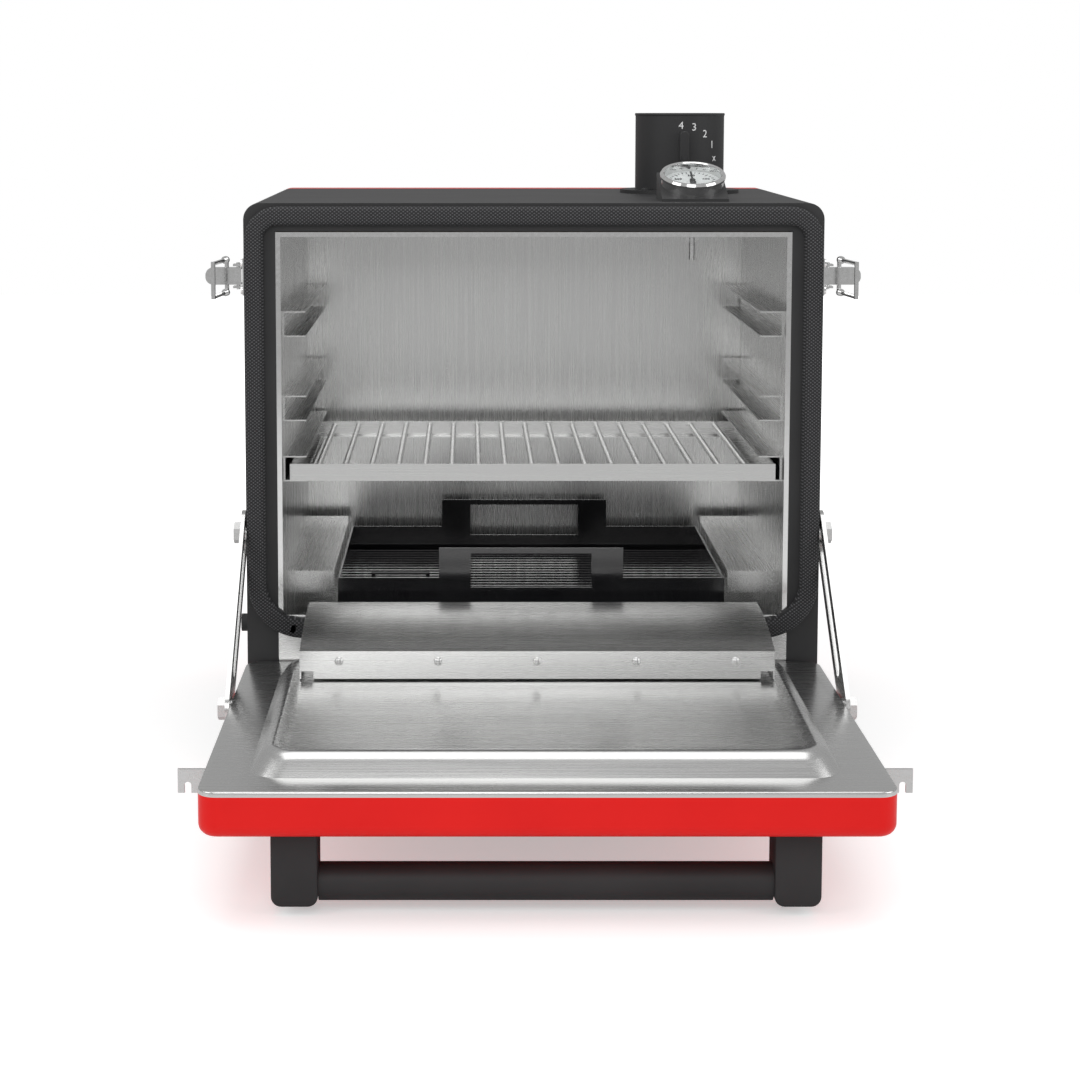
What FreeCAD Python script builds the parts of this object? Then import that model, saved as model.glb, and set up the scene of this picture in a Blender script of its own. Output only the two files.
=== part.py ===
"""Charcoal oven grill with a drop-down door, standing on rubber feet.

Millimetres. +X to the right, +Y from the front to the back, +Z up. The origin lies on the
floor, midway between the two sides, in the plane of the body's front face. The door is
modelled open, which is joint value 0.
"""
import FreeCAD, Part
import math
import os
import re
from FreeCAD import Placement, Rotation, Vector

# ---------------------------------------------------------------- driving sizes
SIZES = (
    ("body_width", 600, "outer width of casing and door"),
    ("body_depth", 412, "depth of the casing, front face to rear shell"),
    ("rear_depth", 43, "depth of the rear shell"),
    ("top_height", 603, "top of the casing above the floor"),
    ("foot_height", 15, "height of the rubber feet"),
    ("foot_radius", 16, "radius of a foot"),
    ("foot_inset", 60, "foot centre from the side and from the front or rear"),
    ("skin", 1.5, "outer sheet thickness"),
    ("corner_round", 17, "outline corners of casing, shell and door"),
    ("edge_round", 11, "pressed edges of door and rear shell"),
    ("flange_side", 33, "width of the front flange at each side"),
    ("flange_top", 29, "height of the front flange at the top"),
    ("fit_gap", 0.3, "clearance between pieces that move past each other"),
    ("opening_width", 524, "clear width of the cavity"),
    ("opening_top", 568, "ceiling of the cavity"),
    ("opening_bottom", 170, "top of the sill lip"),
    ("floor_top", 150, "floor of the cavity"),
    ("liner_skin", 1.2, "cavity sheet thickness"),
    ("cavity_depth", 384, "rear wall of the cavity"),
    ("rim_width", 5, "bright rim round the opening"),
    ("ash_width", 300, "ash opening in the floor, along X"),
    ("ash_front", 85, "front edge of the ash opening"),
    ("ash_back", 330, "rear edge of the ash opening"),
    ("gasket_width", 19, "width of the rope seal"),
    ("gasket_depth", 12, "thickness of the rope seal"),
    ("gasket_inset", 1.5, "seal from the side of the casing"),
    ("gasket_top", 599.5, "top of the seal"),
    ("gasket_bottom", 147.5, "bottom of the seal"),
    ("gasket_round_top", 33.5, "outer corner radius at the top"),
    ("gasket_round_bottom", 58.5, "outer corner radius at the bottom"),
    ("door_reach", 455, "front edge of the open door from the body face"),
    ("door_gap", 4, "gap from the body face to the open door"),
    ("door_plane", 122, "height of the open door's inner rim"),
    ("door_thick", 42, "door thickness at the rim"),
    ("panel_edge", 4.8, "turned-down edge of the door's inner panel"),
    ("door_rim", 40, "flat rim round the raised field"),
    ("field_height", 20, "height of the raised field"),
    ("field_slope", 14, "run of its sloping sides"),
    ("hinge_back", 6, "hinge axis behind the body face"),
    ("hinge_height", 140.5, "hinge axis above the floor"),
    ("hinge_radius", 4, "hinge pin radius"),
    ("hinge_fit", 0.06, "radial running clearance on the pins"),
    ("lug_place", 180, "hinge lug centre from the middle"),
    ("lug_thick", 5, "thickness of a hinge lug"),
    ("lug_radius", 7.4, "eye of a hinge lug"),
    ("ear_thick", 3, "thickness of a hinge ear"),
    ("handle_reach", 55, "handle bar axis from the door's front edge"),
    ("handle_radius", 16.8, "handle bar radius"),
    ("handle_height", 25, "handle bar axis above the floor"),
    ("post_place", 219.5, "handle post centre from the middle"),
    ("post_side", 41, "side of the square handle post"),
    ("post_bottom", 8, "underside of the handle posts"),
    ("guard_front", 155, "strip of the ember guard in front of the body face"),
    ("guard_lip", 12, "rear lip of the ember guard in front of the body face"),
    ("guard_top", 187, "height of the rear lip"),
    ("guard_half", 232, "half width of the ember guard"),
    ("guard_skin", 1.5, "thickness of the ember guard"),
    ("strip_low", 150, "lower edge of the screwed strip"),
    ("strip_high", 170, "upper edge of the screwed strip"),
    ("keeper_place", 385.5, "latch keeper in front of the body face"),
    ("keeper_thick", 3, "thickness of the keeper hook"),
    ("keeper_reach", 24, "how far the keeper stands out"),
    ("notch_off", 15, "keeper notch from the door's side"),
    ("latch_height", 526, "middle of the side latches"),
    ("latch_back", 25, "latch pivot behind the body face"),
    ("latch_off", 8, "latch pivot from the side"),
    ("latch_throw", 12, "pivot to bail pin on the latch lever"),
    ("bail_back", 64.6, "bail pin to bail bar, along the side"),
    ("bail_out", 7, "bail pin to bail bar, outwards"),
    ("bail_half", 17, "half height of the bail"),
    ("wire_radius", 2.25, "bail wire radius"),
    ("lever_length", 34, "latch pivot to lever tip"),
    ("stay_low_y", 153, "stay's door bolt in front of the body face"),
    ("stay_low_z", 112, "stay's door bolt above the floor"),
    ("stay_top_y", 12, "stay's body bolt behind the body face"),
    ("stay_top_z", 256, "stay's body bolt above the floor"),
    ("stay_wide", 42, "width of a stay"),
    ("stay_thick", 4, "thickness of a stay"),
    ("stay_off", 1.5, "stay from the casing's side"),
    ("slot_half", 8.5, "half width of the stay's slot"),
    ("bolt_radius", 6, "radius of the stay bolts"),
    ("bush_radius", 8, "radius of the bush in the slot"),
    ("head_radius", 11.5, "corner radius of a stay bolt's head"),
    ("head_height", 8, "height of a stay bolt's head"),
    ("rail_front", 22, "front end of the rack rails"),
    ("rail_back", 372, "rear end of the rack rails"),
    ("rail_high", 27, "height of a rail's channel"),
    ("rail_wide", 24, "depth of a rail's channel"),
    ("rail_skin", 1.5, "rail thickness"),
    ("rail_low", 309, "underside of the lowest rail"),
    ("rail_mid", 373, "underside of the middle rail"),
    ("rail_top", 462, "underside of the upper rail"),
    ("grate_half", 255, "half width of the cooking grate"),
    ("grate_front", 14, "front of the cooking grate"),
    ("grate_back", 334, "rear of the cooking grate"),
    ("grate_high", 18, "height of the grate's edge"),
    ("rod_radius", 3.2, "cooking rod radius"),
    ("rod_count", 17, "number of cooking rods"),
    ("basket_half", 208, "half width of the charcoal basket"),
    ("basket_front", 60, "front wall of the charcoal basket"),
    ("basket_back", 358, "rear wall of the charcoal basket"),
    ("basket_high", 197.5, "rim of the charcoal basket"),
    ("basket_skin", 2, "basket wall"),
    ("grip_half", 99, "half width of the raised grip wall"),
    ("grip_high", 230, "top of the raised grip wall"),
    ("window_half", 65, "half width of the window in the grip wall"),
    ("window_low", 187, "lower edge of that window"),
    ("window_high", 224, "upper edge of that window"),
    ("bar_top", 172, "top of the charcoal bars"),
    ("bar_wide", 6, "width of a charcoal bar"),
    ("bar_high", 8, "height of a charcoal bar"),
    ("bar_pitch", 14, "spacing of the charcoal bars"),
    ("ledge_high", 204, "top of the side ledges"),
    ("flue_place", 177, "flue axis from the middle"),
    ("flue_back", 290, "flue axis behind the body face"),
    ("flue_radius", 51, "outer radius of the flue"),
    ("flue_top", 694.5, "top of the flue"),
    ("collar_radius", 68.5, "radius of the flue collar"),
    ("collar_high", 4, "thickness of the flue collar"),
    ("damper_height", 644.5, "damper shaft above the floor"),
    ("damper_radius", 48.6, "radius of the damper plate"),
    ("shaft_radius", 3, "radius of damper and regulator shafts"),
    ("damper_lever", 30, "length of the damper lever"),
    ("gauge_place", 170, "thermometer from the middle"),
    ("gauge_back", 68, "thermometer behind the body face"),
    ("gauge_tilt", 20, "tilt of the dial in degrees"),
    ("gauge_radius", 33, "radius of the thermometer case"),
    ("gauge_high", 13, "height of the thermometer case"),
    ("bracket_half", 35, "half width and half depth of the bracket"),
    ("bracket_low", 3, "height of the bracket at its front edge"),
    ("stem_bottom", 540, "lower end of the probe"),
    ("regulator_back", 200, "air regulator behind the body face"),
    ("regulator_height", 116, "air regulator above the floor"),
    ("regulator_radius", 32, "radius of the air regulator disc"),
    ("vent_ring", 20, "air holes from the regulator's axis"),
    ("vent_radius", 7.5, "radius of an air hole"),
    ("knob_radius", 10, "radius of the regulator knob"),
    ("knob_reach", 26, "how far the knob stands out"),
    ("drawer_half", 165, "half width of the ash drawer"),
    ("drawer_back", 330, "rear of the ash drawer"),
    ("drawer_low", 22, "underside of the ash drawer"),
    ("drawer_high", 72, "top of the ash drawer"),
    ("front_half", 176, "half width of the drawer front"),
    ("front_high", 77, "top of the drawer front"),
)

doc = FreeCAD.newDocument("CharcoalOven")
sheet = doc.addObject("Spreadsheet::Sheet", "Sizes")
for row, (alias, number, meaning) in enumerate(SIZES, start=1):
    sheet.set(f"A{row}", meaning)
    sheet.set(f"B{row}", str(number))
    sheet.setAlias(f"B{row}", alias)
doc.recompute()
size = {alias: float(sheet.get(alias)) for alias, number, meaning in SIZES}
parts = []


# ---------------------------------------------------------------- building helpers
def bound(text):
    """Write a size formula with the sheet's name before each alias."""
    return re.sub(r"[a-z][a-z_]+", lambda word: "Sizes." + word.group(0), text)


def put(item, corner):
    """Bind an object's position to three formulas."""
    for axis, formula in zip("xyz", corner.split(",")):
        item.setExpression(f"Placement.Base.{axis}", bound(formula))
    return item


def span(item, low, high):
    """Bind a block's three sides and its position to two opposite corners."""
    for side, start, stop in zip(("Length", "Width", "Height"), low.split(","), high.split(",")):
        item.setExpression(side, bound(f"({stop}) - ({start})"))


def box(name, low, high):
    """Make a block between two corners."""
    item = doc.addObject("Part::Box", name)
    span(item, low, high)
    return put(item, low)


def edges_of(shape, along, place):
    """Name the edges that run along an axis, or lie in a plane, at one side of a shape.

    along is an axis letter, or "" for every edge of the plane; place is such as "z+".
    """
    limits = {"x": (shape.BoundBox.XMin, shape.BoundBox.XMax),
              "y": (shape.BoundBox.YMin, shape.BoundBox.YMax),
              "z": (shape.BoundBox.ZMin, shape.BoundBox.ZMax)}
    names = []
    for number, edge in enumerate(shape.Edges, start=1):
        reach = {"x": (edge.BoundBox.XMin, edge.BoundBox.XMax),
                 "y": (edge.BoundBox.YMin, edge.BoundBox.YMax),
                 "z": (edge.BoundBox.ZMin, edge.BoundBox.ZMax)}
        if along and any(reach[axis][1] - reach[axis][0] > 0.01 for axis in "xyz" if axis != along):
            continue
        if place:
            wall = limits[place[0]][place[1] == "+"]
            if max(abs(value - wall) for value in reach[place[0]]) > 0.01:
                continue
        names.append(f"Edge{number}")
    return names


def rounded(name, low, high, *rounds):
    """Make a block with rounded edges; each round is (along, place, radius formula)."""
    body = doc.addObject("PartDesign::Body", name)
    block = body.newObject("PartDesign::AdditiveBox", name + "_block")
    span(block, low, high)
    put(body, low)
    doc.recompute()
    for along, place, radius in rounds:
        before = body.Tip
        fillet = body.newObject("PartDesign::Fillet", name + "_round")
        fillet.Base = (before, edges_of(before.Shape, along, place))
        fillet.setExpression("Radius", bound(radius))
        doc.recompute()
    return body


TURNS = {"z": Rotation(), "x": Rotation(Vector(0, 1, 0), 90), "y": Rotation(Vector(1, 0, 0), -90)}


def rod(name, start, radius, length, along="z"):
    """Make a cylinder from a start point along an axis."""
    item = doc.addObject("Part::Cylinder", name)
    item.Placement = Placement(Vector(), TURNS[along])
    item.setExpression("Radius", bound(radius))
    item.setExpression("Height", bound(length))
    return put(item, start)


def hexagon(name, start, radius, length):
    """Make a six-sided head along X."""
    item = doc.addObject("Part::Prism", name)
    item.Polygon = 6
    item.Placement = Placement(Vector(), TURNS["x"])
    item.setExpression("Circumradius", bound(radius))
    item.setExpression("Height", bound(length))
    return put(item, start)


def fuse(name, *items):
    """Join several objects."""
    item = doc.addObject("Part::MultiFuse", name)
    item.Shapes = list(items)
    return item


def group(name, *items):
    """Keep several separate solids in one object."""
    item = doc.addObject("Part::Compound", name)
    item.Links = list(items)
    return item


def cut(name, base, *tools):
    """Cut one or more tools out of a base."""
    item = doc.addObject("Part::Cut", name)
    item.Base = base
    item.Tool = tools[0] if len(tools) == 1 else fuse(name + "_tools", *tools)
    return item


def mirrored(name, source):
    """Make the left-hand copy of a right-hand piece."""
    item = doc.addObject("Part::Mirroring", name)
    item.Source = source
    item.Base = Vector(0, 0, 0)
    item.Normal = Vector(1, 0, 0)
    return item


def plate(name, outline, start, thick):
    """Make a plate from an outline in the YZ plane, from X = start, thick along X.

    outline is a list of (y, z) points; a three-part entry (y, z, "via") bends the stretch
    between its two neighbours into an arc through it.
    """
    points = [Vector(start, entry[0], entry[1]) for entry in outline]
    edges = []
    index = 0
    count = len(outline)
    while index < count:
        following = (index + 1) % count
        if len(outline[following]) == 3:
            end = (index + 2) % count
            edges.append(Part.Arc(points[index], points[following], points[end]).toShape())
            index += 2
        else:
            edges.append(Part.LineSegment(points[index], points[following]).toShape())
            index += 1
    item = doc.addObject("Part::Feature", name)
    item.Shape = Part.Face(Part.Wire(edges)).extrude(Vector(thick, 0, 0))
    return item


def keep(node, item):
    """Give a finished piece its name."""
    item.Label = node
    parts.append(item)
    return item


# ---------------------------------------------------------------- casing
def casing():
    """Outer casing, base, rear shell, sill and feet."""
    outer = rounded("casing_outer", "-body_width/2, 0, foot_height",
                    "body_width/2, body_depth, top_height", ("y", "z+", "corner_round"))
    inner = rounded("casing_inner", "-body_width/2 + skin, skin, 0",
                    "body_width/2 - skin, body_depth + skin, top_height - skin",
                    ("y", "z+", "corner_round - skin"))
    mouth = box("casing_mouth", "-body_width/2 + flange_side, -skin, 0",
                "body_width/2 - flange_side, 2*skin, top_height - flange_top")
    flue = rod("casing_flue", "flue_place, flue_back, top_height - 2*skin", "flue_radius", "4*skin")
    stem = rod("casing_stem", "gauge_place, gauge_back, top_height - 2*skin", "shaft_radius + fit_gap",
               "4*skin")
    vents = [rod("casing_pivot", "-body_width/2 - skin, regulator_back, regulator_height",
                 "shaft_radius + hinge_fit", "4*skin", "x")]
    vents += vent_holes("casing_vent", "-body_width/2 - skin", "4*skin")
    keep("casing_shell", cut("casing", outer, inner, mouth, flue, stem, *vents))
    keep("base_pan", box("base", "-body_width/2 + skin, skin, foot_height",
                         "body_width/2 - skin, body_depth, foot_height + skin"))

    pan = rounded("rear_outer", "-body_width/2, body_depth, foot_height",
                  "body_width/2, body_depth + rear_depth, top_height",
                  ("y", "", "corner_round"), ("", "y+", "edge_round"))
    hollow = rounded("rear_inner", "-body_width/2 + skin, body_depth - skin, foot_height + skin",
                     "body_width/2 - skin, body_depth + rear_depth - skin, top_height - skin",
                     ("y", "", "corner_round - skin"), ("", "y+", "edge_round - skin"))
    keep("rear_shell", cut("rear", pan, hollow))

    face = box("sill_face", "-body_width/2 + flange_side, 0, foot_height + skin",
               "body_width/2 - flange_side, skin, opening_bottom - rim_width")
    mouth = box("sill_mouth", "-drawer_half - 3, -skin, foot_height",
                "drawer_half + 3, 2*skin, drawer_high + 2")
    slots = [box("sill_slot", f"{side}*lug_place - lug_thick/2 - 1, -skin, hinge_height - 43",
                 f"{side}*lug_place + lug_thick/2 + 1, 2*skin, hinge_height + lug_radius + 1")
             for side in (-1, 1)]
    sheet_metal = cut("sill_sheet", face, mouth, *slots)
    ears = []
    for place in ("-lug_place", "lug_place"):
        for gap in ("- lug_thick/2 - 1 - ear_thick", "+ lug_thick/2 + 1"):
            ears.append(box("sill_ear", f"{place} {gap}, skin, hinge_height - lug_radius",
                            f"{place} {gap} + ear_thick, hinge_back + lug_radius, hinge_height + lug_radius"))
    bore = rod("sill_bore", "-body_width/2, hinge_back, hinge_height", "hinge_radius", "body_width", "x")
    keep("sill_panel", fuse("sill", sheet_metal, cut("sill_ears", fuse("sill_ear_set", *ears), bore)))

    pins = [rod("hinge_pin", f"{side}*lug_place - lug_thick/2 - 2 - ear_thick, hinge_back, hinge_height",
                "hinge_radius", "lug_thick + 4 + 2*ear_thick", "x") for side in (-1, 1)]
    keep("hinge_pins", group("hinge_pin_pair", *pins))

    feet = []
    for side in (-1, 1):
        for back in ("foot_inset", "body_depth - foot_inset/2"):
            foot = doc.addObject("Part::Cone", "foot")
            foot.setExpression("Radius1", bound("foot_radius - 2"))
            foot.setExpression("Radius2", bound("foot_radius"))
            foot.setExpression("Height", bound("foot_height"))
            feet.append(put(foot, f"{side}*(body_width/2 - foot_inset), {back}, 0"))
    keep("rubber_feet", group("feet", *feet))


def vent_holes(name, start, length):
    """Four air holes round the regulator's axis."""
    holes = []
    for across, up in ((1, 0), (0, 1), (-1, 0), (0, -1)):
        holes.append(rod(name, f"{start}, regulator_back + {across}*vent_ring, "
                               f"regulator_height + {up}*vent_ring", "vent_radius", length, "x"))
    return holes


# ---------------------------------------------------------------- cavity
def cavity():
    """Steel liner, its rim, the insulation and the rope seal."""
    outer = box("liner_outer", "-opening_width/2 - liner_skin, skin, floor_top - liner_skin",
                "opening_width/2 + liner_skin, cavity_depth + liner_skin, opening_top + liner_skin")
    inner = box("liner_inner", "-opening_width/2, skin + liner_skin, floor_top",
                "opening_width/2, cavity_depth, opening_top")
    mouth = box("liner_mouth", "-opening_width/2, 0, opening_bottom",
                "opening_width/2, 2*skin + liner_skin, opening_top")
    ash = box("liner_ash", "-ash_width/2, ash_front, floor_top - 2*liner_skin",
              "ash_width/2, ash_back, floor_top + liner_skin")
    flue = rod("liner_flue", "flue_place, flue_back, opening_top - liner_skin", "flue_radius - skin",
               "3*liner_skin")
    stem = rod("liner_stem", "gauge_place, gauge_back, opening_top - liner_skin",
               "shaft_radius + fit_gap", "3*liner_skin")
    keep("cavity_liner", cut("liner", outer, inner, mouth, ash, flue, stem))

    rim = box("rim_outer", "-opening_width/2 - rim_width, 0, opening_bottom - rim_width",
              "opening_width/2 + rim_width, skin, opening_top + rim_width")
    hole = box("rim_hole", "-opening_width/2, -skin, opening_bottom",
               "opening_width/2, 2*skin, opening_top")
    keep("opening_rim", cut("rim", rim, hole))

    wrap = rounded("wool_outer", "-body_width/2 + skin, 14*skin, floor_top",
                   "body_width/2 - skin, body_depth + rear_depth/2, top_height - skin",
                   ("y", "z+", "corner_round - skin"))
    core = box("wool_core", "-opening_width/2 - liner_skin, 0, 0",
               "opening_width/2 + liner_skin, cavity_depth + liner_skin, opening_top + liner_skin")
    flue = rod("wool_flue", "flue_place, flue_back, opening_top", "flue_radius", "top_height - opening_top")
    stem = rod("wool_stem", "gauge_place, gauge_back, opening_top", "shaft_radius + fit_gap",
               "top_height - opening_top")
    under = box("wool_under", "-opening_width/2, 20*skin, floor_top - 38",
                "opening_width/2, cavity_depth, floor_top - liner_skin")
    chute = box("wool_chute", "-ash_width/2, ash_front, 0", "ash_width/2, ash_back, floor_top")
    keep("wool_blanket", group("wool", cut("wool_wrap", wrap, core, flue, stem),
                               cut("wool_floor", under, chute)))

    seal = rounded("seal_outer", "-body_width/2 + gasket_inset, -gasket_depth, gasket_bottom",
                   "body_width/2 - gasket_inset, 0, gasket_top",
                   ("y", "z+", "gasket_round_top"), ("y", "z-", "gasket_round_bottom"))
    loop = rounded("seal_inner", "-body_width/2 + gasket_inset + gasket_width, -2*gasket_depth, "
                   "gasket_bottom + gasket_width",
                   "body_width/2 - gasket_inset - gasket_width, gasket_depth, gasket_top - gasket_width",
                   ("y", "z+", "gasket_round_top - gasket_width"),
                   ("y", "z-", "gasket_round_bottom - gasket_width"))
    keep("door_seal", cut("seal", seal, loop))


def rack():
    """Three pairs of rack rails, and the ledges beside the charcoal basket."""
    for level in ("low", "mid", "top"):
        block = box("rail_block", f"opening_width/2 - rail_wide, rail_front, rail_{level}",
                    f"opening_width/2, rail_back, rail_{level} + rail_high")
        groove = box("rail_groove", f"0, 0, rail_{level} + rail_skin",
                     f"opening_width/2 - rail_skin, body_depth, rail_{level} + rail_high - rail_skin")
        right = keep(f"rack_rail_right_{level}", cut("rail", block, groove))
        keep(f"rack_rail_left_{level}", mirrored("rail_copy", right))
    shelf = box("ledge_shelf", "basket_half + 4, basket_front + 6, ledge_high - rail_skin",
                "opening_width/2, basket_back - 6, ledge_high")
    wall = box("ledge_wall", "opening_width/2 - rail_skin, basket_front + 6, ledge_high - 24",
               "opening_width/2, basket_back - 6, ledge_high")
    front = box("ledge_front", "basket_half + 4, basket_front + 6, ledge_high - 24",
                "opening_width/2, basket_front + 6 + rail_skin, ledge_high")
    tab = box("ledge_tab", "basket_half + 4, basket_back - 6 - rail_skin, ledge_high - 6",
              "opening_width/2, basket_back - 6, ledge_high + 7")
    right = keep("side_ledge_right", fuse("ledge", shelf, wall, front, tab))
    keep("side_ledge_left", mirrored("ledge_copy", right))


def cooking_grate():
    """Sliding grate: a folded edge and a row of rods."""
    low = "rail_low + rail_skin + fit_gap"
    outer = box("grate_outer", f"-grate_half, grate_front, {low}", f"grate_half, grate_back, {low} + grate_high")
    inner = box("grate_inner", f"-grate_half + rail_skin, grate_front + rail_skin, {low} + rail_skin",
                f"grate_half - rail_skin, grate_back - rail_skin, {low} + grate_high + 1")
    well = box("grate_well", f"-grate_half + 14, grate_front + 14, {low} - 1",
               f"grate_half - 14, grate_back - 14, {low} + grate_high")
    keep("grate_frame", cut("grate", outer, inner, well))
    rods = []
    count = round(size["rod_count"])
    for number in range(count):
        share = f"{number + 1}/(rod_count + 1)"
        rods.append(rod("grate_rod", f"-grate_half + 2*grate_half*{share}, grate_front + rail_skin, "
                        f"{low} + grate_high - 6", "rod_radius", "grate_back - grate_front - 2*rail_skin",
                        "y"))
    keep("grate_rods", group("rods", *rods))


def charcoal_basket():
    """Basket walls with two window grips, the barred bottom and its lifting wire."""
    outer = box("basket_outer", "-basket_half, basket_front, floor_top",
                "basket_half, basket_back, basket_high")
    inner = box("basket_inner", "-basket_half + basket_skin, basket_front + basket_skin, floor_top - 1",
                "basket_half - basket_skin, basket_back - basket_skin, basket_high + 1")
    walls = [cut("basket_walls", outer, inner)]
    for edge in ("basket_front", "basket_back - basket_skin"):
        grip = box("basket_grip", f"-grip_half, {edge}, basket_high - 1",
                   f"grip_half, {edge} + basket_skin, grip_high")
        walls.append(grip)
    windows = [box("basket_window", f"-window_half, {edge} - 5, window_low",
                   f"window_half, {edge} + 5, window_high") for edge in ("basket_front", "basket_back")]
    keep("charcoal_basket", cut("basket", fuse("basket_shell", *walls), *windows))

    bars = []
    reach = size["basket_back"] - size["basket_front"] - 2 * size["basket_skin"] - size["bar_wide"]
    for number in range(int(reach / size["bar_pitch"])):
        edge = f"basket_front + basket_skin + 4 + {number}*bar_pitch"
        bars.append(box("coal_bar", f"-basket_half + basket_skin, {edge}, bar_top - bar_high",
                        f"basket_half - basket_skin, {edge} + bar_wide, bar_top"))
    for place in (-1, -0.5, 0, 0.5, 1):
        middle = f"{place}*(basket_half - basket_skin - 6)"
        bars.append(box("coal_rib", f"{middle} - 4, basket_front + basket_skin, floor_top",
                        f"{middle} + 4, basket_back - basket_skin, bar_top - bar_high/2"))
    keep("charcoal_grate", fuse("coal_grate", *bars))

    uprights = [rod("lift_upright", f"{place}, basket_front + 51, bar_top", "2", "20")
                for place in ("-172", "-112")]
    bridge = rod("lift_bridge", "-174, basket_front + 51, bar_top + 20", "2", "64", "x")
    keep("grate_lifter", fuse("lifter", bridge, *uprights))


# ---------------------------------------------------------------- flue, thermometer, air
def flue():
    """Flue pipe, its collar, and the butterfly damper with its lever."""
    pipe = rod("pipe_outer", "flue_place, flue_back, opening_top + liner_skin", "flue_radius",
               "flue_top - opening_top - liner_skin")
    bore = rod("pipe_bore", "flue_place, flue_back, opening_top", "flue_radius - skin", "flue_top - opening_top + 1")
    across = rod("pipe_cross", "flue_place, flue_back - 2*flue_radius, damper_height",
                 "shaft_radius + hinge_fit", "4*flue_radius", "y")
    keep("flue_pipe", cut("pipe", pipe, bore, across))
    ring = rod("collar_disc", "flue_place, flue_back, top_height", "collar_radius", "collar_high")
    hole = rod("collar_hole", "flue_place, flue_back, top_height - 1", "flue_radius", "collar_high + 2")
    keep("flue_collar", cut("collar", ring, hole))
    disc = rod("damper_disc", "flue_place - 1, flue_back, damper_height", "damper_radius", "2", "x")
    shaft = rod("damper_shaft", "flue_place, flue_back - flue_radius - 11, damper_height", "shaft_radius",
                "2*flue_radius + 15", "y")
    keep("damper_plate", fuse("damper", disc, shaft))
    arm = rounded("lever_arm", "flue_place - 5.5, flue_back - flue_radius - 10, damper_height - 6.5",
                  "flue_place + 5.5, flue_back - flue_radius - 4, damper_height + damper_lever",
                  ("y", "", "5"), ("", "y-", "1.5"))
    hole = rod("lever_hole", "flue_place, flue_back - flue_radius - 20, damper_height", "shaft_radius",
               "30", "y")
    keep("damper_lever", cut("lever", arm, hole))


def thermometer():
    """Tilted dial thermometer on a folded bracket, with a probe into the cavity."""
    tilt = math.radians(size["gauge_tilt"])
    front = size["gauge_back"] - size["bracket_half"]
    back = size["gauge_back"] + size["bracket_half"]
    base = size["top_height"]
    low = base + size["bracket_low"]
    high = low + (back - front) * math.tan(tilt)
    left = size["gauge_place"] - size["bracket_half"]
    wide = 2 * size["bracket_half"]
    skin = size["skin"]
    outside = plate("bracket_out", [(front, base), (back, base), (back, high), (front, low)], left, wide)
    inside = plate("bracket_in", [(front + skin, base - 1), (back - skin, base - 1),
                                  (back - skin, high - 2 * skin), (front + skin, low - skin)],
                   left + skin, wide - 2 * skin)
    hole = rod("bracket_hole", "gauge_place, gauge_back, top_height - 1", "shaft_radius + fit_gap", "60")
    keep("thermometer_bracket", cut("bracket", outside, inside, hole))

    centre_z = (low + high) / 2
    turn = Rotation(Vector(1, 0, 0), size["gauge_tilt"])
    seat = Placement(Vector(size["gauge_place"], size["gauge_back"], centre_z), turn)

    def disc(name, radius, start, thick):
        item = doc.addObject("Part::Feature", name)
        item.Shape = Part.makeCylinder(radius, thick, Vector(0, 0, start))
        item.Placement = seat
        return item

    radius = size["gauge_radius"]
    high = size["gauge_high"]
    stem_room = disc("case_room", size["shaft_radius"] + size["fit_gap"], -1, 4)
    keep("thermometer_case", cut("case", disc("case_cup", radius, 0, high),
                                 disc("case_bore", radius - 3, 3, high), stem_room))
    keep("thermometer_dial", disc("dial", radius - 3, 3, 1))
    keep("thermometer_glass", disc("glass", radius - 3, high - 3, 2))
    needle = doc.addObject("Part::Feature", "needle")
    hand = Part.makeBox(2, 24, 0.8, Vector(-1, 0, 5))
    tail = Part.makeBox(6, 8, 0.8, Vector(-3, -11, 5))
    link = Part.makeBox(2, 6, 0.8, Vector(-1, -5, 5))
    needle.Shape = Part.makeCylinder(3, 2, Vector(0, 0, 4.3)).fuse([hand, tail, link]).removeSplitter()
    needle.Placement = seat
    keep("thermometer_needle", needle)
    stem = rod("stem_rod", "gauge_place, gauge_back, stem_bottom", "shaft_radius",
               "top_height - stem_bottom + 13")
    clip = box("stem_wing", "gauge_place - 7, gauge_back - 1, opening_top - 9",
               "gauge_place + 7, gauge_back + 1, opening_top")
    keep("thermometer_probe", fuse("stem", stem, clip))


def air_regulator():
    """Round air shutter on the left side, with its knob."""
    disc = rod("shutter_disc", "-body_width/2 - fit_gap - 2, regulator_back, regulator_height",
               "regulator_radius", "2", "x")
    knob = rod("shutter_knob", "-body_width/2 - knob_reach, regulator_back, regulator_height",
               "knob_radius", "knob_reach - fit_gap - 1", "x")
    shaft = rod("shutter_shaft", "-body_width/2 - 2, regulator_back, regulator_height", "shaft_radius",
                "2 + 3*skin", "x")
    holes = vent_holes("shutter_vent", "-body_width/2 - 10", "20")
    keep("air_regulator", cut("shutter", fuse("shutter_set", disc, knob, shaft), *holes))


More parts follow.
